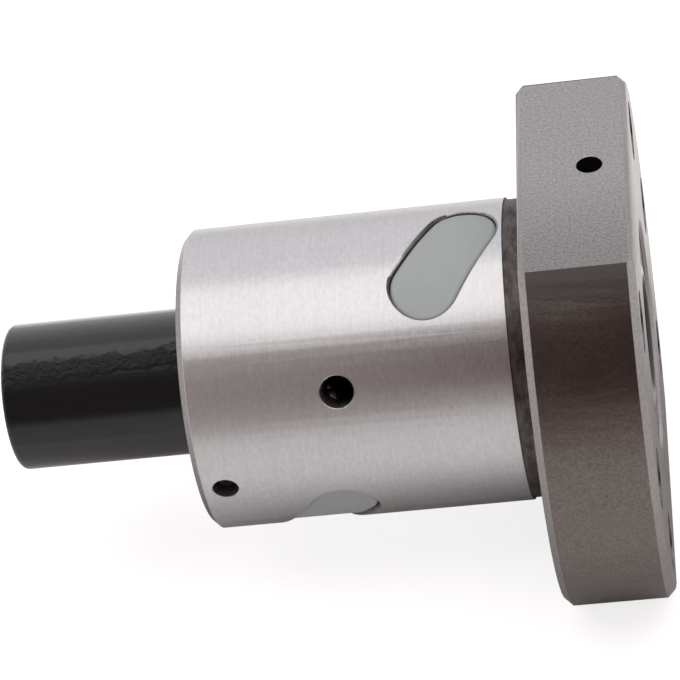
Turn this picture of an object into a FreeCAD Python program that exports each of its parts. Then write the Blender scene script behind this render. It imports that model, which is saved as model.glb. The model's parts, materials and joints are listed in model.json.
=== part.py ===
import FreeCAD, Part
import math
import os

# Flanged single ball nut on its storage sleeve, in millimetres.
# X runs along the nut axis, out of the flange's outer face. The origin is the centre of the mounting face.
# Z points out of the upper flat of the flange. Angles are measured about X, from Y towards Z.

# Ball screw that the nut runs on
shaft_diameter = 16.0
lead = 5.0
ball_diameter = 3.175
ball_circle_diameter = 17.0
land_clearance = 0.25

# Ball track and circuits
groove_clearance = 0.07
gothic_offset = 0.05
circuit_count = 3
return_span = 80.0
return_crest_clearance = 0.07
ball_gap = 0.04

# Ground body
body_diameter = 28.0
body_chamfer = 0.6
relief_width = 2.05
relief_depth = 0.2
flange_end_land = 0.47
free_end_land = 0.7

# Flange with two flats
flange_across_flats = 40.0
flange_thickness = 10.0
flange_chamfer = 0.7
flat_chamfer = 0.5
bolt_hole_diameter = 5.5
bolt_body_distance = 5.0
bolt_rim_distance = 5.0
bolt_spread_angle = 45.0

# Lubrication port in the lower flat
port_distance = 4.5
port_diameter = 5.0
port_depth = 7.0
port_passage_distance = 3.5
port_passage_diameter = 2.0

# Return inserts in the wall
first_insert_angle = 98.5
insert_length = 13.2
insert_width = 6.3
insert_tilt = 30.0
insert_recess = 0.3
insert_clearance = 0.05
insert_edge_round = 0.4
window_chamfer = 0.2

# Wiper rings in the ends of the nut
wiper_wall = 2.4
wiper_width = 5.0
wiper_recess = 0.4
wiper_clearance = 0.05
wiper_shaft_clearance = 0.05
wiper_rib_height = 0.95
wiper_slit_width = 1.0
wiper_slit_angle = 300.0
wiper_seat_chamfer = 0.3

# Set screws that hold the wiper rings
wiper_screw_diameter = 2.3
wiper_screw_clearance = 0.03
wiper_screw_chamfer = 0.18
wiper_screw_socket = 1.3
wiper_screw_socket_depth = 1.0
flange_screw_distance = 6.5
flange_screw_offset = 0.7
flange_screw_length = 5.0
free_screw_distance = 2.62
free_screw_angle = 184.8
free_screw_recess = 1.1

# Oil hole through the wall of the body
oil_hole_distance = 17.6
oil_hole_angle = 148.2
oil_hole_diameter = 3.0

# Broken edge at the mouth of each small hole
mouth_chamfer = 0.05

# Storage sleeve in place of the shaft
sleeve_clearance = 0.0625
sleeve_bore_diameter = 11.0
sleeve_protrusion = 18.0
sleeve_end_recess = 0.2
sleeve_edge_round = 0.6
sleeve_bore_chamfer = 0.3

# Sizes that follow from the ones above
ball_radius = ball_diameter / 2
track_radius = ball_circle_diameter / 2
groove_radius = ball_radius + groove_clearance
bore_radius = shaft_diameter / 2 + land_clearance
body_radius = body_diameter / 2
flat_height = flange_across_flats / 2
bolt_circle_radius = body_radius + bolt_body_distance
flange_radius = bolt_circle_radius + bolt_rim_distance
wiper_radius = shaft_diameter / 2 + wiper_shaft_clearance + wiper_wall
wiper_seat_radius = wiper_radius + wiper_clearance
wiper_seat_depth = wiper_recess + wiper_width
half_span = return_span / 2
crest_lift = shaft_diameter / 2 + return_crest_clearance + ball_radius - track_radius
circuit_pitch = lead * (1 + 1 / circuit_count)
insert_straight = insert_length - insert_width
insert_reach = (insert_width + insert_straight * math.sin(math.radians(insert_tilt))) / 2
first_insert_distance = relief_width + flange_end_land + insert_reach
last_insert_distance = first_insert_distance + (circuit_count - 1) * circuit_pitch
body_length = last_insert_distance + insert_reach + free_end_land + wiper_seat_depth
sleeve_radius = track_radius - ball_radius - sleeve_clearance
cut_margin = 1.0
edge_tolerance = 0.02
edge_samples = 7
circuit_samples = 720
channel_sections = 13
channel_reach = 1.45
channel_step = 0.01
groove_start = -body_length + wiper_seat_depth - groove_radius
groove_end = flange_thickness - wiper_seat_depth + groove_radius

X_AXIS = FreeCAD.Vector(1, 0, 0)
Z_AXIS = FreeCAD.Vector(0, 0, 1)
ORIGIN = FreeCAD.Vector(0, 0, 0)


def save(name, *solids):
    """Writes one sub-part, which may be a group of separate solids."""
    shape = solids[0] if len(solids) == 1 else Part.makeCompound(list(solids))
    shape.exportStep("parts/" + name + ".step")


def axial_cylinder(radius, start, end):
    """A cylinder about the nut axis between two stations."""
    return Part.makeCylinder(radius, end - start, FreeCAD.Vector(start, 0, 0), X_AXIS)


def revolved(points):
    """A solid of revolution about the nut axis from (station, radius) points."""
    corners = [FreeCAD.Vector(station, radius, 0) for station, radius in points]
    face = Part.Face(Part.makePolygon(corners + corners[:1]))
    return face.revolve(ORIGIN, X_AXIS, 360)


def at_radial(shape, station, angle):
    """Puts a shape that was made about Z at the origin onto the radial line at a station and an angle."""
    turn = FreeCAD.Rotation(X_AXIS, angle - 90)
    placed = shape.copy()
    placed.Placement = FreeCAD.Placement(FreeCAD.Vector(station, 0, 0), turn).multiply(shape.Placement)
    return placed


def point_on_track(station, radius, angle):
    """The point at a station, a distance from the axis and an angle in degrees."""
    turn = math.radians(angle)
    return FreeCAD.Vector(station, radius * math.cos(turn), radius * math.sin(turn))


def insert_places():
    """Station and angle of each return insert. All lie on one right-hand track."""
    places = []
    for number in range(circuit_count):
        station = -first_insert_distance - number * circuit_pitch
        angle = first_insert_angle - 360 * number * circuit_pitch / lead
        places.append((station, angle % 360))
    return places


def helical_solid(profile_wire, start, end):
    """Sweeps a wire, drawn at angle 0 and station 0 of the track, along the track between two stations."""
    helix = Part.makeHelix(lead, end - start, track_radius)
    first_station, first_angle = insert_places()[0]
    track_station = first_station + lead / 2 - lead * first_angle / 360
    start_angle = 360 * (start - track_station) / lead
    slope = math.degrees(math.atan2(lead, 2 * math.pi * track_radius))
    profile = profile_wire.copy()
    profile.rotate(FreeCAD.Vector(track_radius, 0, 0), X_AXIS, slope)
    solid = Part.Wire(helix.Edges).makePipeShell([profile], True, True)
    solid.Placement = FreeCAD.Placement(
        FreeCAD.Vector(start, 0, 0),
        FreeCAD.Rotation(X_AXIS, start_angle).multiply(axis_turn()),
    )
    return solid


def axis_turn():
    """Turns Z onto X and X onto Y, so that angle 0 of a helix about Z lands on Y."""
    return FreeCAD.Rotation(FreeCAD.Vector(0, 1, 0), Z_AXIS, X_AXIS, "ZXY")


def gothic_profile(radius):
    """The section of the ball groove, and of a rib in it: two arcs that meet in a shallow point."""
    reach = math.sqrt(radius**2 - gothic_offset**2)
    outer = FreeCAD.Vector(track_radius + reach, 0, 0)
    inner = FreeCAD.Vector(track_radius - reach, 0, 0)
    upper = FreeCAD.Vector(track_radius, 0, radius - gothic_offset)
    lower = FreeCAD.Vector(track_radius, 0, gothic_offset - radius)
    arcs = [Part.Arc(inner, upper, outer).toShape(), Part.Arc(outer, lower, inner).toShape()]
    return Part.Wire(arcs)


def rib_profile(radius):
    """The section of a rib that reaches into the shaft's groove: the inner half of the gothic section."""
    reach = math.sqrt(radius**2 - gothic_offset**2)
    inner = FreeCAD.Vector(track_radius - reach, 0, 0)
    upper = FreeCAD.Vector(track_radius, 0, radius - gothic_offset)
    lower = FreeCAD.Vector(track_radius, 0, gothic_offset - radius)
    arc = Part.Arc(lower, inner, upper).toShape()
    return Part.Wire([arc, Part.LineSegment(upper, lower).toShape()])


def stadium_prism(length, width, bottom, top):
    """A round-ended bar about the radial line, turned so that it crosses the track at the insert's tilt."""
    half = (length - width) / 2
    radius = width / 2
    corners = [
        FreeCAD.Vector(-half, -radius, bottom),
        FreeCAD.Vector(half, -radius, bottom),
        FreeCAD.Vector(half, radius, bottom),
        FreeCAD.Vector(-half, radius, bottom),
    ]
    tip = FreeCAD.Vector(half + radius, 0, bottom)
    tail = FreeCAD.Vector(-half - radius, 0, bottom)
    outline = Part.Wire([
        Part.LineSegment(corners[0], corners[1]).toShape(),
        Part.Arc(corners[1], tip, corners[2]).toShape(),
        Part.LineSegment(corners[2], corners[3]).toShape(),
        Part.Arc(corners[3], tail, corners[0]).toShape(),
    ])
    prism = Part.Face(outline).extrude(FreeCAD.Vector(0, 0, top - bottom))
    prism.rotate(ORIGIN, Z_AXIS, 90 - insert_tilt)
    return prism


def build_nut_body(groove):
    """One steel piece: ground body, grinding relief, flange with flats, bolt holes, windows and ports."""
    relief_radius = body_radius - relief_depth
    outline = [
        (-body_length, 0),
        (-body_length, body_radius - body_chamfer),
        (body_chamfer - body_length, body_radius),
        (-relief_width, body_radius),
        (-relief_width, relief_radius),
        (flange_thickness / 2, relief_radius),
        (flange_thickness / 2, 0),
    ]
    windows = [window(station, angle) for station, angle in insert_places()]
    body = revolved(outline).cut(windows)
    rims = [edge for edge in body.Edges if is_window_rim(edge)]
    body = body.makeChamfer(window_chamfer, rims).fuse(build_flange_blank())
    cuts = [axial_cylinder(bore_radius, -body_length - cut_margin, flange_thickness + cut_margin)]
    cuts += counterbores() + bolt_holes() + lubrication_port()
    cuts += [flange_screw_hole(), free_screw_hole(), oil_hole()]
    return body.cut(cuts).cut(groove)


def is_window_rim(edge):
    """Whether an edge lies on the ground surface and isn't one of its end circles or its seam."""
    on_surface = edge_radius(edge) > body_radius - edge_tolerance
    box = edge.BoundBox
    across = math.hypot(box.YLength, box.ZLength)
    return on_surface and min(box.XLength, across) > edge_tolerance


def build_flange_blank():
    """A turned disc with a chamfer round both faces, cut by two parallel flats with broken edges."""
    disc = axial_cylinder(flange_radius, 0, flange_thickness)
    disc = disc.makeChamfer(flange_chamfer, [edge for edge in disc.Edges if edge.Closed])
    half_width = flange_radius + cut_margin
    face_height = flat_height - flat_chamfer
    flat_end = flange_thickness - flat_chamfer
    corners = [
        FreeCAD.Vector(station, -half_width, height)
        for station, height in (
            (0, -face_height),
            (0, face_height),
            (flat_chamfer, flat_height),
            (flat_end, flat_height),
            (flange_thickness, face_height),
            (flange_thickness, -face_height),
            (flat_end, -flat_height),
            (flat_chamfer, -flat_height),
        )
    ]
    band = Part.Face(Part.makePolygon(corners + corners[:1]))
    return disc.common(band.extrude(FreeCAD.Vector(0, 2 * half_width, 0)))


def counterbores():
    """The seats of the wiper rings, with a small lead-in chamfer."""
    seats = []
    for face, inwards in ((flange_thickness, -1), (-body_length, 1)):
        outside = face - inwards * cut_margin
        floor = face + inwards * wiper_seat_depth
        lead_in = face + inwards * wiper_seat_chamfer
        seats.append(revolved([
            (outside, 0),
            (outside, wiper_seat_radius + wiper_seat_chamfer),
            (face, wiper_seat_radius + wiper_seat_chamfer),
            (lead_in, wiper_seat_radius),
            (floor, wiper_seat_radius),
            (floor, 0),
        ]))
    return seats


def bolt_holes():
    """Three holes on each side of the flats, on the bolt circle."""
    holes = []
    for side in (0, 180):
        for spread in (-bolt_spread_angle, 0, bolt_spread_angle):
            centre = point_on_track(-cut_margin, bolt_circle_radius, side + spread)
            length = flange_thickness + 2 * cut_margin
            holes.append(Part.makeCylinder(bolt_hole_diameter / 2, length, centre, X_AXIS))
    return holes


def lubrication_port():
    """A tapping bore in the lower flat, with a narrow passage from its floor to the ball track."""
    port = Part.makeCylinder(port_diameter / 2, port_depth + cut_margin)
    port.translate(FreeCAD.Vector(0, 0, flat_height - port_depth))
    passage_start = bore_radius - cut_margin
    passage_length = flat_height - port_depth - passage_start + cut_margin
    passage = Part.makeCylinder(port_passage_diameter / 2, passage_length)
    passage.translate(FreeCAD.Vector(0, 0, passage_start))
    return [at_radial(port, port_distance, 270), at_radial(passage, port_passage_distance, 270)]


def window(station, angle):
    """The opening through the wall that takes a return insert, with its broken outer edge."""
    bottom = bore_radius * math.cos(math.radians(half_span))
    opening = stadium_prism(insert_length, insert_width, bottom, body_radius + cut_margin)
    return at_radial(opening, station, angle)


def drilled(radius, bottom, surface, drop=0):
    """A hole along Z with a broken edge at its mouth, in a surface that falls away by the drop beside it."""
    top = surface + cut_margin
    rim = surface - drop - mouth_chamfer
    hole = Part.makeCylinder(radius, top - bottom)
    hole.translate(Z_AXIS * bottom)
    mouth = Part.makeCone(radius, radius + top - rim, top - rim)
    mouth.translate(Z_AXIS * rim)
    return hole.fuse(mouth)


def body_drop(radius):
    """How far the ground surface falls away beside a hole."""
    return body_radius - math.sqrt(body_radius**2 - radius**2)


def flange_screw_hole():
    """A radial hole from the upper flat down to the wiper ring's seat."""
    hole = drilled(wiper_screw_diameter / 2, wiper_radius - cut_margin, flat_height)
    hole.translate(FreeCAD.Vector(0, flange_screw_offset, 0))
    return at_radial(hole, flange_screw_distance, 90)


def free_screw_hole():
    """A radial hole from the ground body down to the wiper ring's seat."""
    radius = wiper_screw_diameter / 2
    hole = drilled(radius, wiper_radius - cut_margin, body_radius, body_drop(radius))
    return at_radial(hole, free_screw_distance - body_length, free_screw_angle)


def oil_hole():
    """A radial hole through the wall to the ball track."""
    radius = oil_hole_diameter / 2
    hole = drilled(radius, bore_radius - cut_margin, body_radius, body_drop(radius))
    return at_radial(hole, -oil_hole_distance, oil_hole_angle)


def return_point(share):
    """Centre line of a ball's way back over the shaft's crest, about an insert at angle 0.

    The share runs from -1 to 1 over the return span, and past that the line is the helical track.
    It gives the station beside the insert, the radius and the angle.
    """
    angle = share * half_span
    run = lead * half_span / 360
    end_station = run - lead / 2
    if abs(share) >= 1:
        return math.copysign(lead / 2, -share) + lead * angle / 360, track_radius, angle
    cubic = (run - end_station) / 2
    station = (end_station - cubic) * share + cubic * share**3
    lift = crest_lift * (1 - share**2) ** 2
    return station, track_radius + lift, angle


def channel_section(share):
    """The channel's section at one place: a round roof over the ball, open towards the shaft."""
    ends = [return_point(share - channel_step), return_point(share + channel_step)]
    before, after = [point_on_track(x, radius, angle + 90) for x, radius, angle in ends]
    station, radius, angle = return_point(share)
    centre = point_on_track(station, radius, angle + 90)
    along = (after - before).normalize()
    outwards = point_on_track(0, 1, angle + 90)
    outwards = (outwards - along * along.dot(outwards)).normalize()
    across = along.cross(outwards)
    depth = radius - bore_radius + groove_radius
    left = centre - across * groove_radius
    right = centre + across * groove_radius
    roof = centre + outwards * groove_radius
    return Part.Wire([
        Part.Arc(left, roof, right).toShape(),
        Part.LineSegment(right, right - outwards * depth).toShape(),
        Part.LineSegment(right - outwards * depth, left - outwards * depth).toShape(),
        Part.LineSegment(left - outwards * depth, left).toShape(),
    ])


def build_return_insert(station, angle):
    """A moulded piece that fills the window, with the S-shaped return channel in its inner face."""
    outer = body_radius - insert_recess
    inner = bore_radius + insert_clearance
    length = insert_length - 2 * insert_clearance
    width = insert_width - 2 * insert_clearance
    bar = stadium_prism(length, width, inner * math.cos(math.radians(half_span)), body_radius)
    wall = axial_cylinder(outer, -insert_length, insert_length)
    wall = wall.cut(axial_cylinder(inner, -2 * insert_length, 2 * insert_length))
    blank = bar.common(wall)
    rim = [edge for edge in blank.Edges if edge_radius(edge) > outer - insert_clearance]
    blank = blank.makeFillet(insert_edge_round, rim)
    sections = [
        channel_section(channel_reach * (2 * number / (channel_sections - 1) - 1))
        for number in range(channel_sections)
    ]
    channel = Part.makeLoft(sections, True, False)
    return at_radial(blank.cut(channel), station, angle)


def edge_radius(edge):
    """The least distance from the nut axis along an edge."""
    points = edge.discretize(edge_samples)
    return min(math.hypot(point.y, point.z) for point in points)


def circuit_path():
    """Points along one closed circuit about an insert at angle 0, with their angles and path lengths."""
    path = []
    length = 0.0
    for number in range(circuit_samples + 1):
        angle = 360 * number / circuit_samples - 180
        station, radius, _ = return_point(angle / half_span)
        point = point_on_track(station, radius, angle)
        if path:
            length += point.distanceToPoint(path[-1][0])
        path.append((point, angle, length))
    return path


def circuit_balls():
    """Ball centres about an insert at angle 0, evenly spread, as loaded and returning ones."""
    path = circuit_path()
    total = path[-1][2]
    count = int(total / (ball_diameter + ball_gap))
    loaded = []
    returning = []
    for number in range(count):
        wanted = total * (number + 0.5) / count
        point, angle, _ = min(path, key=lambda entry: abs(entry[2] - wanted))
        group = returning if abs(angle) < half_span else loaded
        group.append(point)
    return loaded, returning


def build_balls(centres, station, angle):
    """Steel balls at their places in one circuit."""
    turn = FreeCAD.Rotation(X_AXIS, angle)
    shift = FreeCAD.Vector(station, 0, 0)
    return [Part.makeSphere(ball_radius, turn.multVec(centre) + shift) for centre in centres]


def build_wiper_ring(start):
    """A slit plastic ring in its seat, with a helical rib that runs in the shaft's groove."""
    bore = wiper_radius - wiper_wall
    end = start + wiper_width
    ring = axial_cylinder(wiper_radius, start, end)
    ring = ring.cut(axial_cylinder(bore, start - cut_margin, end + cut_margin))
    rib_radius = track_radius - bore + wiper_rib_height
    rib = helical_solid(rib_profile(rib_radius), start - lead / 2, end + lead / 2)
    before = axial_cylinder(body_radius, start - lead, start)
    after = axial_cylinder(body_radius, end, end + lead)
    rib = rib.cut([before, after])
    slit = Part.makeBox(wiper_width + 2 * cut_margin, wiper_slit_width, body_radius)
    slit.translate(FreeCAD.Vector(start - cut_margin, -wiper_slit_width / 2, 0))
    return ring.fuse(rib).cut(at_radial(slit, 0, wiper_slit_angle))


def build_set_screw(length):
    """A headless screw along Z with its hexagon socket at the top, standing on the origin's plane."""
    radius = wiper_screw_diameter / 2 - wiper_screw_clearance
    blank = Part.makeCylinder(radius, length)
    rims = [edge for edge in blank.Edges if edge.Closed]
    blank = blank.makeChamfer(wiper_screw_chamfer, rims)
    corner_radius = wiper_screw_socket / math.sqrt(3)
    corners = [
        FreeCAD.Vector(corner_radius * math.cos(turn), corner_radius * math.sin(turn), length)
        for turn in (math.radians(60 * number) for number in range(7))
    ]
    socket = Part.Face(Part.makePolygon(corners)).extrude(Z_AXIS * -wiper_screw_socket_depth)
    return blank.cut(socket)


def build_flange_screw():
    """The screw in the upper flat, seated on the wiper ring."""
    screw = build_set_screw(flange_screw_length)
    screw.translate(FreeCAD.Vector(0, flange_screw_offset, wiper_seat_radius))
    return at_radial(screw, flange_screw_distance, 90)


def build_free_screw():
    """The screw in the ground body, seated on the wiper ring."""
    screw = build_set_screw(body_radius - wiper_seat_radius - free_screw_recess)
    screw.translate(Z_AXIS * wiper_seat_radius)
    return at_radial(screw, free_screw_distance - body_length, free_screw_angle)


def build_storage_sleeve():
    """A plain plastic tube that holds the balls in their track until the shaft takes its place."""
    start = -body_length - sleeve_protrusion
    end = flange_thickness - sleeve_end_recess
    bore = sleeve_bore_diameter / 2
    tube = axial_cylinder(sleeve_radius, start, end).cut(axial_cylinder(bore, start, end))
    rims = [edge for edge in tube.Edges if edge.Closed]
    outer_rims = [edge for edge in rims if edge.Curve.Radius > (bore + sleeve_radius) / 2]
    tube = tube.makeFillet(sleeve_edge_round, outer_rims)
    circles = [edge for edge in tube.Edges if edge.Closed and edge.Curve.TypeId == "Part::GeomCircle"]
    inner_rims = [edge for edge in circles if edge.Curve.Radius < bore + edge_tolerance]
    return tube.makeChamfer(sleeve_bore_chamfer, inner_rims)


def main():
    os.makedirs("parts", exist_ok=True)
    groove = helical_solid(gothic_profile(groove_radius), groove_start, groove_end)
    save("nut_body", build_nut_body(groove))
    loaded, returning = circuit_balls()
    for number, (station, angle) in enumerate(insert_places(), start=1):
        save(f"return_insert_{number}", build_return_insert(station, angle))
        save(f"loaded_balls_{number}", *build_balls(loaded, station, angle))
        save(f"returning_balls_{number}", *build_balls(returning, station, angle))
    save("wiper_ring_flange_end", build_wiper_ring(flange_thickness - wiper_seat_depth))
    save("wiper_ring_free_end", build_wiper_ring(wiper_recess - body_length))
    save("wiper_screw_flange_end", build_flange_screw())
    save("wiper_screw_free_end", build_free_screw())
    save("storage_sleeve", build_storage_sleeve())


main()
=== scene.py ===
import json
import math

import bmesh
import bpy
from mathutils import Matrix, Vector

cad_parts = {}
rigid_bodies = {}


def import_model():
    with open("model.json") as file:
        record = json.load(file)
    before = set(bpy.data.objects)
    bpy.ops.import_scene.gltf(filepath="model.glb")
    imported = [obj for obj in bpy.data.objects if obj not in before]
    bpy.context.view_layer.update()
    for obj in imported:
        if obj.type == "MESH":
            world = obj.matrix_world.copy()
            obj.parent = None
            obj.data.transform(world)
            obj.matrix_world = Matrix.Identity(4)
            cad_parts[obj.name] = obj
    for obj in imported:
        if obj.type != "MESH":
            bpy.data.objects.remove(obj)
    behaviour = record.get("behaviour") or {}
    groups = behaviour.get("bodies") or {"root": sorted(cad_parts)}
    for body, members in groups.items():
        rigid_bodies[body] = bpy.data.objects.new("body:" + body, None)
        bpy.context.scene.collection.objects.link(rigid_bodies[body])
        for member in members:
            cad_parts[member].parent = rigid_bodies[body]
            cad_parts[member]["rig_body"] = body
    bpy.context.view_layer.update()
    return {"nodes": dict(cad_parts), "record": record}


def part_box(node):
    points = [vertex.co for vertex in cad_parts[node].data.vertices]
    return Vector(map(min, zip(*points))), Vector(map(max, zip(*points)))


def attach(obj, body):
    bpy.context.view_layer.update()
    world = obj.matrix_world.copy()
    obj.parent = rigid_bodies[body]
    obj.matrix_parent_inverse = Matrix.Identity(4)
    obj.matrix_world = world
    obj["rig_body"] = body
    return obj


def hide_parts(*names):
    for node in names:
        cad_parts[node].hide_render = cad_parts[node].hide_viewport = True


# Flanged ball nut on its storage sleeve. Lengths are metres, and X runs along the nut's axis.
# Z points out of the upper flat. Angles round the axis are measured from Y towards Z.
# Inside the finishes, lengths are millimetres and angles are degrees.

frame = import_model()

MM = 0.001
PER_MM = 1 / MM
WHITE = (1, 1, 1, 1)

# Places on the nut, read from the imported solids
nut_low, nut_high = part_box("nut_body")
FREE_END = nut_low.x
OUTER_FACE = nut_high.x
FLAT_HEIGHT = nut_high.z
FLANGE_RADIUS = nut_high.y
MOUNTS = {mount["name"]: mount for mount in frame["record"]["mounts"]}
BODY_RADIUS = MOUNTS["body_diameter"]["dims"]["r_mm"] * MM
RELIEF_WIDTH = 2.05 * MM

# Shading of the copies: the widest angle that is smoothed, and what counts as one point, as a point
# on a flat, as a point on the axis, and as a face on a round surface
STEEL_CREASE = 28
BALL_CREASE = 60
MERGE_DISTANCE = 1e-7
FLAT_TOLERANCE = 1e-6
AXIS_TOLERANCE = 1e-5
ROUND_TOLERANCE = 0.02 * MM
WIDEST_FACE = math.radians(12)
WIDEST_TWIST = math.radians(4)

# Steel: the darkest and the lightest shade of each finish
GROUND_SHADES = ((0.63, 0.63, 0.635, 1), (0.72, 0.725, 0.73, 1))
EDGE_SHADES = ((0.33, 0.315, 0.305, 1), (0.46, 0.445, 0.435, 1))
# The flats' tones in painted shade (first pair) and in painted light (second pair)
FLAT_PAINTED_SHADE_TONES = ((0.22, 0.21, 0.205, 1), (0.37, 0.36, 0.35, 1))
FLAT_PAINTED_LIGHT_TONES = ((0.31, 0.30, 0.295, 1), (0.50, 0.485, 0.475, 1))
RIM_SHADES = ((0.16, 0.14, 0.128, 1), (0.25, 0.222, 0.205, 1))
# Painted shade on the rim over one range of angles round the axis
RIM_PAINTED_SHADE = (0.07, 0.062, 0.058, 1)
RELIEF_SHADES = ((0.07, 0.06, 0.056, 1), (0.17, 0.15, 0.14, 1))

# Steel: roughness of each finish and depth of its grain
GROUND_ROUGHNESS = (0.24, 0.36)
SCALED_ROUGHNESS = (0.2, 0.32)
RELIEF_ROUGHNESS = 0.45
STEEL_DEPTH = 0.012 * MM

# Steel: how soft the line between two finishes is, how far under the body's radius the relief's finish
# ends, where the painted light on the flats rises along y, and the angles at which painted shade
# darkens the rim
EDGE_BLUR = 0.02
WALL_FADE = (0.4, 0.3)
FLAT_PAINTED_LIGHT_FADE = (-13, 1)
RIM_PAINTED_SHADE_FADE = (134, 127)

# The mouths of the two holes in the ground body, in painted shade: station, angle and radius of each
# hole, how far past that radius the painted shade fades, its colour, and how much of the metal's look
# it takes away
OIL_HOLE = (-17.6, 148.2, 1.5)
SCREW_HOLE = (-29.08, 184.8, 1.15)
MOUTH_FADE = (0.2, 0.15)
MOUTH_PAINTED_SHADE = (0.14, 0.13, 0.125, 1)
MOUTH_DULLING = 0.75

# Plastics, balls and screws
INSERT_SHADES = ((0.58, 0.645, 0.655, 1), (0.64, 0.70, 0.71, 1))
INSERT_ROUGHNESS = (0.45, 0.65)
WIPER_SHADES = ((0.34, 0.33, 0.31, 1), (0.46, 0.45, 0.43, 1))
PLASTIC_DEPTH = 0.006 * MM
BALL_SHADES = ((0.66, 0.65, 0.64, 1), (0.72, 0.71, 0.70, 1))
BALL_ROUGHNESS = (0.05, 0.13)
SCREW_SHADES = ((0.03, 0.03, 0.032, 1), (0.075, 0.072, 0.07, 1))
SCREW_ROUGHNESS = (0.3, 0.55)

# Sleeve: black plastic that has lost its gloss over one stretch of angles
SLEEVE_SHADES = ((0.0035, 0.0038, 0.0046, 1), (0.009, 0.0095, 0.0105, 1))
SLEEVE_DEPTH = 0.3 * MM
DULL_STRETCH = (114, 158)
DULL_EDGE = 1.5
DULL_FADE = (8, -2)
DULL_LEAST = 0.3

# Sleeve: how far scuffs and drift carry the border of that stretch, and how it slants along the axis
BORDER_SCUFF = 26
BORDER_DRIFT = 14
BORDER_SLANT = 0.5
BORDER_MIDDLE = -40

# Sleeve: the wrinkled band along the border, by its distance from the border and its start along x
WRINKLE_MIDDLE = 5
WRINKLE_FADE = (10, 5)
WRINKLE_START = (-52, -44)
WRINKLE_DRIFT = 8
WRINKLE_ROUGHNESS = 0.1

# Camera at the photograph's viewing angle, its aim given from the nut's own origin
CAMERA_AIM = Vector((-18.72, 1.69, 1.70)) * MM
CAMERA_DISTANCE = 290.1 * MM
CAMERA_AZIMUTH = math.radians(10.033)
CAMERA_ELEVATION = math.radians(40.316)
CAMERA_ROLL = math.radians(-12.182)
CAMERA_LENS = 165.1
CAMERA_SENSOR = 36.0
CAMERA_NEAR = 0.01

# Studio: where its white surfaces stand
FLOOR_SIZE = 4.0
BACKDROP_DISTANCE = 0.8
BACKDROP_HEIGHT = 1.1
CEILING_EDGE = 0.45
SIDE_DISTANCE = 0.9
SIDE_FRONT = -0.35

# Studio: how bright those surfaces look, to the camera and in the metal
MATT_WHITE = (0.8, 0.8, 0.8, 1)
FLOOR_SEEN = 0.78
FLOOR_GLOW_FRONT = 0.28
FLOOR_GLOW_BACK = 0.55
FLOOR_GLOW_RISE = (0, 60)
FLOOR_GLOW_FALL = (320, 90)
FLOOR_GLOW_FAR = 0.5
PANEL_TINT = (0.99, 0.985, 1.04, 1)
PANEL_GLOW_LOW = 0.48
PANEL_GLOW_HIGH = 0.64
PANEL_GLOW_RISE = (0, 700)
CEILING_GLOW_EXTRA = 0.1
CEILING_GLOW_WIDTH = 120

# Painted shadow: the floor is dark in the metal close to the nut, over a patch that is longer along x
SHADOW_PATCH_FADE = (12, 40)
SHADOW_PATCH_STRETCH = 0.4

# Softbox overhead and the room's own light
SOFTBOX_HEIGHT = 0.6
SOFTBOX_SIZE = (1.1, 0.565)
SOFTBOX_PLACE = (0.05, -0.0275)
SOFTBOX_POWER = 1.85
ROOM_COLOR = (0.37, 0.315, 0.312, 1)

# A dark card just behind the viewpoint, which shows in the steel as a brown band
CARD_DISTANCE = 0.33
CARD_SPAN = (-0.088, 0.30)
CARD_RISE = (-0.15, 0.11)
CARD_COLOR = (0.06, 0.028, 0.026, 1)


class Value:
    """A number that runs through a material's nodes, written with Python's own operators."""

    def __init__(self, finish, socket):
        self.finish = finish
        self.socket = socket

    def math(self, operation, *others):
        """This value put through one Math node."""
        return self.finish.maths(operation, self, *others)

    def __add__(self, other):
        return self.finish.maths("ADD", self, other)

    def __radd__(self, other):
        return self.finish.maths("ADD", other, self)

    def __sub__(self, other):
        return self.finish.maths("SUBTRACT", self, other)

    def __rsub__(self, other):
        return self.finish.maths("SUBTRACT", other, self)

    def __mul__(self, other):
        return self.finish.maths("MULTIPLY", self, other)

    def __rmul__(self, other):
        return self.finish.maths("MULTIPLY", other, self)


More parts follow.
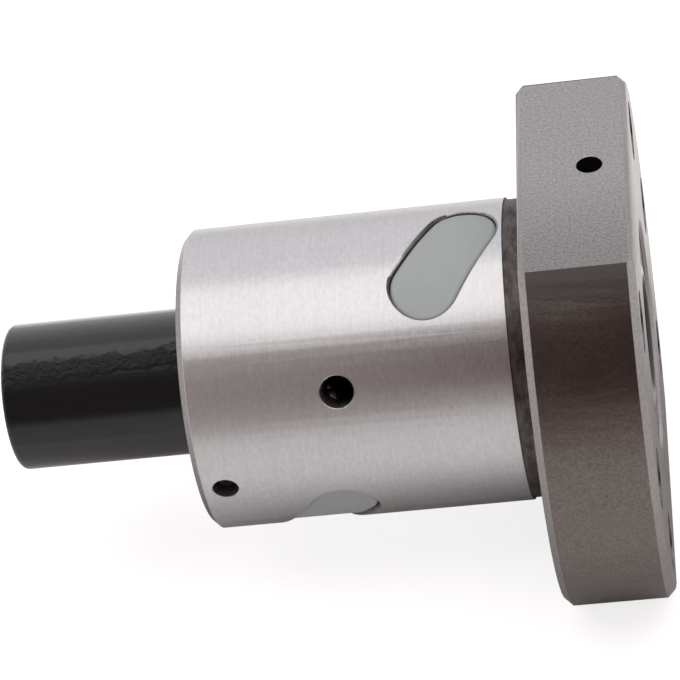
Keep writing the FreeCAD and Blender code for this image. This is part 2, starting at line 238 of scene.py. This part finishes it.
class Finish:
    """One material and the nodes that make it."""

    def __init__(self, name, **constants):
        self.material = bpy.data.materials.new(name)
        self.material.use_nodes = True
        self.tree = self.material.node_tree
        self.shader = self.tree.nodes["Principled BSDF"]
        for socket, value in constants.items():
            self.shader.inputs[socket.replace("_", " ")].default_value = value

    def node(self, kind, settings=None, sockets=None, output=0):
        """Adds one node: its settings first, then the values or links of its sockets."""
        made = self.tree.nodes.new("ShaderNode" + kind)
        for name, value in (settings or {}).items():
            setattr(made, name, value)
        for name, value in (sockets or {}).items():
            if isinstance(value, Value):
                self.tree.links.new(value.socket, made.inputs[name])
            else:
                made.inputs[name].default_value = value
        return Value(self, made.outputs[output])

    def maths(self, operation, *values):
        """A Math node on numbers and values."""
        return self.node("Math", {"operation": operation}, dict(enumerate(values)))

    def place(self):
        """The point's place on the object, in millimetres, as three values."""
        whole = self.node("TexCoord", output="Object")
        return [
            self.node("SeparateXYZ", sockets={0: whole}, output=axis) * PER_MM
            for axis in range(3)
        ]

    def noise(self, scale, detail=3, roughness=0.5):
        """Noise from 0 to 1, with so many features per millimetre along each of the object's axes."""
        spread = [PER_MM * share for share in scale]
        whole = self.node("TexCoord", output="Object")
        mapped = self.node("Mapping", sockets={"Vector": whole, "Scale": spread})
        sockets = {"Vector": mapped, "Scale": 1, "Detail": detail, "Roughness": roughness}
        return self.node("TexNoise", sockets=sockets)

    def ramp(self, value, low, high, to_low=0.0, to_high=1.0):
        """A value's range from low to high, spread over another range and held at its ends."""
        sockets = {
            "Value": value,
            "From Min": low,
            "From Max": high,
            "To Min": to_low,
            "To Max": to_high,
        }
        return self.node("MapRange", {"interpolation_type": "SMOOTHSTEP"}, sockets)

    def mix(self, share, first, second):
        """A colour between two colours."""
        return self.node("Mix", {"data_type": "RGBA"}, {0: share, 6: first, 7: second}, output=2)

    def blend(self, share, first, second):
        """A number between two numbers or values."""
        return self.node("Mix", {"data_type": "FLOAT"}, {0: share, 2: first, 3: second})

    def feed(self, socket, value):
        """Links a value to one socket of the shader."""
        self.tree.links.new(value.socket, self.shader.inputs[socket])

    def bump(self, height, depth):
        """Feeds the normal from a height between 0 and 1, at so many metres deep."""
        sockets = {"Height": height, "Distance": depth, "Strength": 1}
        self.feed("Normal", self.node("Bump", sockets=sockets))


def angle_round_axis(y, z):
    """The point's angle round the nut's axis, in degrees from -180 to 180."""
    return z.math("ARCTAN2", y) * math.degrees(1)


def mouth(finish, x, radius, turn, hole):
    """1 inside a radial hole and over its broken edge, from the point's station, radius and angle."""
    station, angle, hole_radius = hole
    full_turn = turn + 360 * turn.math("LESS_THAN", 0)
    across = (full_turn - angle) * math.radians(1) * radius
    along = x - station
    distance = (along * along + across * across).math("SQRT")
    return finish.ramp(distance, *(hole_radius + fade for fade in MOUTH_FADE))


def steel_finish():
    """The nut: ground body, dark relief, scaled flange and bright broken edges, told apart by place,
    with painted light and shade on the flats, the rim and the hole mouths.
    """
    finish = Finish("nut_steel", Metallic=1)
    x, y, z = finish.place()
    radius = (y * y + z * z).math("SQRT")
    turn = angle_round_axis(y, z)
    body_radius = BODY_RADIUS * PER_MM
    flange_radius = FLANGE_RADIUS * PER_MM
    flat_height = FLAT_HEIGHT * PER_MM
    relief_start = -RELIEF_WIDTH * PER_MM

    # Where each finish lies
    behind_relief = finish.ramp(x, relief_start + EDGE_BLUR, relief_start - EDGE_BLUR)
    before_flange = finish.ramp(x, EDGE_BLUR, 0)
    outside = finish.ramp(radius, body_radius - 4 * EDGE_BLUR, body_radius - 2 * EDGE_BLUR)
    ground = outside * behind_relief
    on_wall = finish.ramp(radius, *(body_radius - depth for depth in WALL_FADE))
    relief = (1 - behind_relief) * before_flange * on_wall
    rim = finish.ramp(radius, flange_radius - 3 * EDGE_BLUR, flange_radius - EDGE_BLUR)
    flat = finish.ramp(z.math("ABSOLUTE"), flat_height - 2 * EDGE_BLUR, flat_height)
    # Painted shade in the mouths and on the walls of the two holes
    hole_painted_shade = mouth(finish, x, radius, turn, OIL_HOLE) + mouth(finish, x, radius, turn, SCREW_HOLE)
    # Painted shade on the rim, from these angles round the axis onwards
    rim_painted_shade = finish.ramp(turn, *RIM_PAINTED_SHADE_FADE) * turn.math("GREATER_THAN", 0)

    # What grinding, scale and dirt leave
    lines = finish.noise((7, 0.02, 0.02), detail=4, roughness=0.65)
    grain = finish.noise((3.2, 1.6, 1.6), detail=4, roughness=0.7)
    cloud = finish.noise((0.25, 0.25, 0.25), roughness=0.55)
    speckle = finish.noise((4, 4, 4), detail=4, roughness=0.75)
    streaks = finish.noise((1.2, 0.5, 0.5), roughness=0.7)
    brushed = finish.ramp(0.35 * lines + 0.65 * grain, 0.36, 0.64)
    grit = finish.ramp(speckle, 0.3, 0.7)
    dirt = finish.ramp(streaks, 0.3, 0.7)

    edge_color = finish.mix(hole_painted_shade, finish.mix(grit, *EDGE_SHADES), MOUTH_PAINTED_SHADE)
    flat_painted_shade = finish.mix(grit, *FLAT_PAINTED_SHADE_TONES)
    flat_painted_light = finish.mix(grit, *FLAT_PAINTED_LIGHT_TONES)
    # Painted light on the flats: lighter from their lower y to their upper y, painted shade towards the
    # near edge
    flat_color = finish.mix(finish.ramp(y, *FLAT_PAINTED_LIGHT_FADE), flat_painted_shade, flat_painted_light)
    rim_color = finish.mix(rim_painted_shade, finish.mix(grit, *RIM_SHADES), RIM_PAINTED_SHADE)
    color = finish.mix(flat, edge_color, flat_color)
    color = finish.mix(rim, color, rim_color)
    color = finish.mix(ground, color, finish.mix(brushed, *GROUND_SHADES))
    color = finish.mix(relief, color, finish.mix(dirt, *RELIEF_SHADES))
    finish.feed("Base Color", color)
    # The painted shade in the hole mouths also takes away some of the metal's look
    finish.feed("Metallic", 1 - MOUTH_DULLING * hole_painted_shade * (1 - ground))

    scaled_roughness = finish.blend(cloud, *SCALED_ROUGHNESS)
    ground_roughness = finish.blend(grain, *GROUND_ROUGHNESS)
    roughness = finish.blend(ground, scaled_roughness, ground_roughness)
    finish.feed("Roughness", finish.blend(relief, roughness, RELIEF_ROUGHNESS))
    height = finish.blend(ground, speckle, lines * 0.15 + grain * 0.6)
    finish.bump(height, STEEL_DEPTH)
    return finish.material


def insert_finish():
    """The return inserts: matt grey-green moulded plastic."""
    finish = Finish("insert_plastic")
    cloud = finish.noise((0.6, 0.6, 0.6))
    grain = finish.noise((14, 14, 14), detail=2)
    finish.feed("Base Color", finish.mix(cloud, *INSERT_SHADES))
    finish.feed("Roughness", finish.blend(grain, *INSERT_ROUGHNESS))
    finish.bump(grain, PLASTIC_DEPTH)
    return finish.material


def wiper_finish():
    """The wiper rings: off-white plastic, a little stained by oil."""
    finish = Finish("wiper_plastic", Roughness=0.5)
    cloud = finish.noise((0.5, 0.5, 0.5))
    finish.feed("Base Color", finish.mix(cloud, *WIPER_SHADES))
    grain = finish.noise((10, 10, 10), detail=2)
    finish.bump(grain, PLASTIC_DEPTH)
    return finish.material


def ball_finish():
    """Polished bearing balls with a film of oil."""
    finish = Finish("ball_steel", Metallic=1)
    film = finish.noise((0.8, 0.8, 0.8), detail=2)
    finish.feed("Base Color", finish.mix(film, *BALL_SHADES))
    finish.feed("Roughness", finish.blend(film, *BALL_ROUGHNESS))
    return finish.material


def screw_finish():
    """Black-oxide steel of the set screws."""
    finish = Finish("screw_steel", Metallic=1)
    wear = finish.noise((4, 4, 4))
    finish.feed("Base Color", finish.mix(wear, *SCREW_SHADES))
    finish.feed("Roughness", finish.blend(wear, *SCREW_ROUGHNESS))
    return finish.material


def sleeve_finish():
    """The storage sleeve: glossy black plastic with one dull stretch, and a wrinkled band along it."""
    finish = Finish("sleeve_plastic", IOR=1.38, Coat_IOR=1.42, Coat_Roughness=0.1)
    x, y, z = finish.place()
    turn = angle_round_axis(y, z)
    draw = finish.noise((0.04, 6, 6))
    scuff = finish.noise((0.9, 1.8, 1.8), detail=6, roughness=0.75)
    drift = finish.noise((0.12, 0.12, 0.12), detail=2)
    crinkle = finish.noise((2.4, 2.4, 2.4), roughness=0.6)

    upper, lower = DULL_STRETCH
    slant = BORDER_SLANT * (x - BORDER_MIDDLE)
    ragged = turn + BORDER_SCUFF * (scuff - 0.5) + BORDER_DRIFT * (drift - 0.5) + slant
    past_upper = finish.ramp(ragged, upper - DULL_EDGE, upper + DULL_EDGE)
    before_lower = finish.ramp(turn, *(lower + fade for fade in DULL_FADE), DULL_LEAST, 1)
    dull = past_upper * before_lower
    from_band = (ragged - upper - WRINKLE_MIDDLE).math("ABSOLUTE")
    wrinkle_length = finish.ramp(x + WRINKLE_DRIFT * drift, *WRINKLE_START)
    wrinkled = finish.ramp(from_band, *WRINKLE_FADE) * wrinkle_length
    rubbed = finish.ramp(scuff, 0.60, 0.70)

    finish.feed("Base Color", finish.mix(rubbed, *SLEEVE_SHADES))
    finish.feed("Coat Weight", (1 - dull) * (1 - wrinkled))
    smooth_roughness = 0.2 + 0.06 * draw + 0.2 * rubbed
    finish.feed("Roughness", finish.blend(wrinkled, smooth_roughness, WRINKLE_ROUGHNESS))
    finish.bump(draw * 0.03 + scuff * 0.03 + crinkle * wrinkled, SLEEVE_DEPTH)
    return finish.material


def is_on_flat(corners):
    """Whether a face lies on one of the nut's two flats."""
    return all(abs(abs(corner.z) - FLAT_HEIGHT) < FLAT_TOLERANCE for corner in corners)


def is_turned(face_normal, corners, centre):
    """Whether a face lies on a surface turned about the nut's axis."""
    radii = [math.hypot(corner.y, corner.z) for corner in corners]
    if min(radii) < AXIS_TOLERANCE:
        return False
    middle = math.atan2(centre.z, centre.y)
    turns = [math.remainder(math.atan2(c.z, c.y) - middle, math.tau) for c in corners]
    if max(turns) - min(turns) > WIDEST_FACE:
        return False
    outwards = face_normal.y * math.cos(middle) + face_normal.z * math.sin(middle)
    rest = [radius * outwards + c.x * face_normal.x for radius, c in zip(radii, corners)]
    sideways = face_normal.z * math.cos(middle) - face_normal.y * math.sin(middle)
    return max(rest) - min(rest) < ROUND_TOLERANCE and abs(sideways) < math.sin(WIDEST_TWIST)


def turned_normal(face_normal, centre, corner):
    """The face's normal, turned about the nut's axis from the face's middle to one of its corners."""
    turn = math.atan2(corner.z, corner.y) - math.atan2(centre.z, centre.y)
    return Matrix.Rotation(turn, 3, "X") @ face_normal


def finished_copy(node, material, crease=STEEL_CREASE):
    """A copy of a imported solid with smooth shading, which stands for it.

    Faces on the two flats keep their own normal, those on turned surfaces get the normals of the
    true round surface, and the rest are averaged up to the crease angle in degrees.
    """
    source = frame["nodes"][node]
    mesh = source.data.copy()
    piece = bpy.data.objects.new(node + "_finished", mesh)
    bpy.context.scene.collection.objects.link(piece)
    shell = bmesh.new()
    shell.from_mesh(mesh)
    bmesh.ops.remove_doubles(shell, verts=shell.verts, dist=MERGE_DISTANCE)
    for face in shell.faces:
        face.smooth = True
    shell.to_mesh(mesh)
    shell.free()
    mesh.set_sharp_from_angle(angle=math.radians(crease))
    mesh.update()
    normals = [Vector(corner.vector) for corner in mesh.corner_normals]
    for face in mesh.polygons:
        corners = [mesh.vertices[number].co for number in face.vertices]
        centre = face.center
        if is_on_flat(corners):
            for loop in face.loop_indices:
                normals[loop] = face.normal.copy()
        elif is_turned(face.normal, corners, centre):
            for loop, corner in zip(face.loop_indices, corners):
                normals[loop] = turned_normal(face.normal, centre, corner)
    mesh.normals_split_custom_set([tuple(normal) for normal in normals])
    mesh.materials.clear()
    mesh.materials.append(material)
    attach(piece, source["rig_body"])
    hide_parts(node)


def build_part():
    """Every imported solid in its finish."""
    insert = insert_finish()
    wiper = wiper_finish()
    ball = ball_finish()
    screw = screw_finish()
    finished_copy("nut_body", steel_finish())
    for number in (1, 2, 3):
        finished_copy(f"return_insert_{number}", insert)
        finished_copy(f"loaded_balls_{number}", ball, BALL_CREASE)
        finished_copy(f"returning_balls_{number}", ball, BALL_CREASE)
    for end in ("flange_end", "free_end"):
        finished_copy(f"wiper_ring_{end}", wiper)
        finished_copy(f"wiper_screw_{end}", screw)
    finished_copy("storage_sleeve", sleeve_finish())


def build_camera():
    """The photograph's camera."""
    back = Vector((
        math.sin(CAMERA_AZIMUTH) * math.cos(CAMERA_ELEVATION),
        -math.cos(CAMERA_AZIMUTH) * math.cos(CAMERA_ELEVATION),
        math.sin(CAMERA_ELEVATION),
    ))
    level = Vector((math.cos(CAMERA_AZIMUTH), math.sin(CAMERA_AZIMUTH), 0))
    upright = back.cross(level)
    right = level * math.cos(CAMERA_ROLL) + upright * math.sin(CAMERA_ROLL)
    up = back.cross(right)
    data = bpy.data.cameras.new("camera")
    data.lens = CAMERA_LENS
    data.sensor_width = CAMERA_SENSOR
    data.clip_start = CAMERA_NEAR
    camera = bpy.data.objects.new("camera", data)
    bpy.context.scene.collection.objects.link(camera)
    turn = Matrix((right, up, back)).transposed().to_4x4()
    camera.matrix_world = Matrix.Translation(CAMERA_AIM + back * CAMERA_DISTANCE) @ turn
    bpy.context.scene.camera = camera


def stage_plane(name, corners, material, seen=False):
    """A flat stage piece through four corners.

    One that isn't seen casts no shadow, but shows in the metal.
    """
    mesh = bpy.data.meshes.new(name)
    mesh.from_pydata(corners, [], [(0, 1, 2, 3)])
    mesh.materials.append(material)
    plane = bpy.data.objects.new(name, mesh)
    bpy.context.scene.collection.objects.link(plane)
    plane.visible_camera = seen
    plane.visible_shadow = seen


def stage_finish(name, seen, mirrored, tint=WHITE):
    """A matt white that glows for the camera by a number, and in reflections by a function."""
    finish = Finish(name)
    finish.tree.nodes.remove(finish.shader)
    ray = finish.node("LightPath", output="Is Camera Ray")
    glossy = finish.node("LightPath", output="Is Glossy Ray")
    through = finish.node("LightPath", output="Is Transmission Ray")
    strength = ray * seen + (glossy + through) * mirrored(finish)
    glow = finish.node("Emission", sockets={"Color": tint, "Strength": strength})
    matt = finish.node("BsdfDiffuse", sockets={"Color": MATT_WHITE})
    both = finish.node("AddShader", sockets={0: glow, 1: matt})
    finish.tree.links.new(both.socket, finish.tree.nodes["Material Output"].inputs["Surface"])
    return finish.material


def ceiling_glow(finish):
    """The ceiling's glow: the panels' own, and brighter towards the softbox."""
    _, y, _ = finish.place()
    edge = CEILING_EDGE * PER_MM
    brightest = PANEL_GLOW_HIGH + CEILING_GLOW_EXTRA
    return finish.ramp(y, edge, edge + CEILING_GLOW_WIDTH, brightest, PANEL_GLOW_HIGH)


def panel_glow(finish):
    """A standing panel's glow, brighter higher up."""
    _, _, z = finish.place()
    return finish.ramp(z, *PANEL_GLOW_RISE, PANEL_GLOW_LOW, PANEL_GLOW_HIGH)


def floor_glow(finish):
    """The floor's glow, with painted shadow and painted light: dim under the nut, brighter in front of
    it and brightest behind it.
    """
    x, y, _ = finish.place()
    along = (x - (FREE_END + OUTER_FACE) / 2 * PER_MM) * SHADOW_PATCH_STRETCH
    away = (along * along + y * y).math("SQRT")
    rise = finish.ramp(y, *FLOOR_GLOW_RISE, FLOOR_GLOW_FRONT, FLOOR_GLOW_BACK)
    fall = finish.ramp(y, *FLOOR_GLOW_FALL, FLOOR_GLOW_FAR, 1)
    return rise * fall * finish.ramp(away, *SHADOW_PATCH_FADE)


def card_finish():
    """Brown-black that looks alike from everywhere."""
    finish = Finish("card_dark")
    finish.tree.nodes.remove(finish.shader)
    glow = finish.node("Emission", sockets={"Color": CARD_COLOR})
    finish.tree.links.new(glow.socket, finish.tree.nodes["Material Output"].inputs["Surface"])
    return finish.material


def build_surroundings():
    """The floor, and white panels behind, above and beside the nut."""
    low = -FLAT_HEIGHT
    high = low + BACKDROP_HEIGHT
    half = FLOOR_SIZE / 2
    back = BACKDROP_DISTANCE
    corners = [(-half, -half, low), (half, -half, low), (half, half, low), (-half, half, low)]
    stage_plane("floor", corners, stage_finish("floor_white", FLOOR_SEEN, floor_glow), seen=True)

    white = stage_finish("panel_white", 0, panel_glow, PANEL_TINT)
    wall = [(-half, back, low), (half, back, low), (half, back, high), (-half, back, high)]
    stage_plane("backdrop", wall, white)
    edge = CEILING_EDGE
    ceiling = [(-half, edge, high), (half, edge, high), (half, back, high), (-half, back, high)]
    stage_plane("ceiling", ceiling, stage_finish("ceiling_white", 0, ceiling_glow, PANEL_TINT))
    front = SIDE_FRONT
    for name, side in (("left_panel", -SIDE_DISTANCE), ("right_panel", SIDE_DISTANCE)):
        panel = [(side, front, low), (side, back, low), (side, back, high), (side, front, high)]
        stage_plane(name, panel, white)


def build_card():
    """The dark card, which runs along the nut's axis and faces it."""
    across = Vector((1, 0, 0))
    back = bpy.context.scene.camera.matrix_world.to_3x3().col[2].normalized()
    rise = back.cross(across).normalized()
    middle = back * CARD_DISTANCE
    left, right = (across * side for side in CARD_SPAN)
    bottom, top = (rise * lift for lift in CARD_RISE)
    edges = [(left, bottom), (right, bottom), (right, top), (left, top)]
    stage_plane("dark_card", [middle + side + lift for side, lift in edges], card_finish())


def build_light():
    """The softbox, and the room's light round a background that is white to the camera."""
    data = bpy.data.lights.new("softbox", "AREA")
    data.shape = "RECTANGLE"
    data.size, data.size_y = SOFTBOX_SIZE
    data.energy = SOFTBOX_POWER
    softbox = bpy.data.objects.new("softbox", data)
    softbox.location = (*SOFTBOX_PLACE, SOFTBOX_HEIGHT)
    bpy.context.scene.collection.objects.link(softbox)

    world = bpy.data.worlds.new("room")
    world.use_nodes = True
    bpy.context.scene.world = world
    nodes, links = world.node_tree.nodes, world.node_tree.links
    room = nodes["Background"]
    room.inputs["Color"].default_value = ROOM_COLOR
    white_room = nodes.new("ShaderNodeBackground")
    white_room.inputs["Color"].default_value = WHITE
    ray = nodes.new("ShaderNodeLightPath")
    choice = nodes.new("ShaderNodeMixShader")
    links.new(ray.outputs["Is Camera Ray"], choice.inputs[0])
    links.new(room.outputs[0], choice.inputs[1])
    links.new(white_room.outputs[0], choice.inputs[2])
    links.new(choice.outputs[0], nodes["World Output"].inputs["Surface"])
    bpy.context.scene.view_settings.view_transform = "Standard"


build_part()
build_camera()
build_surroundings()
build_card()
build_light()
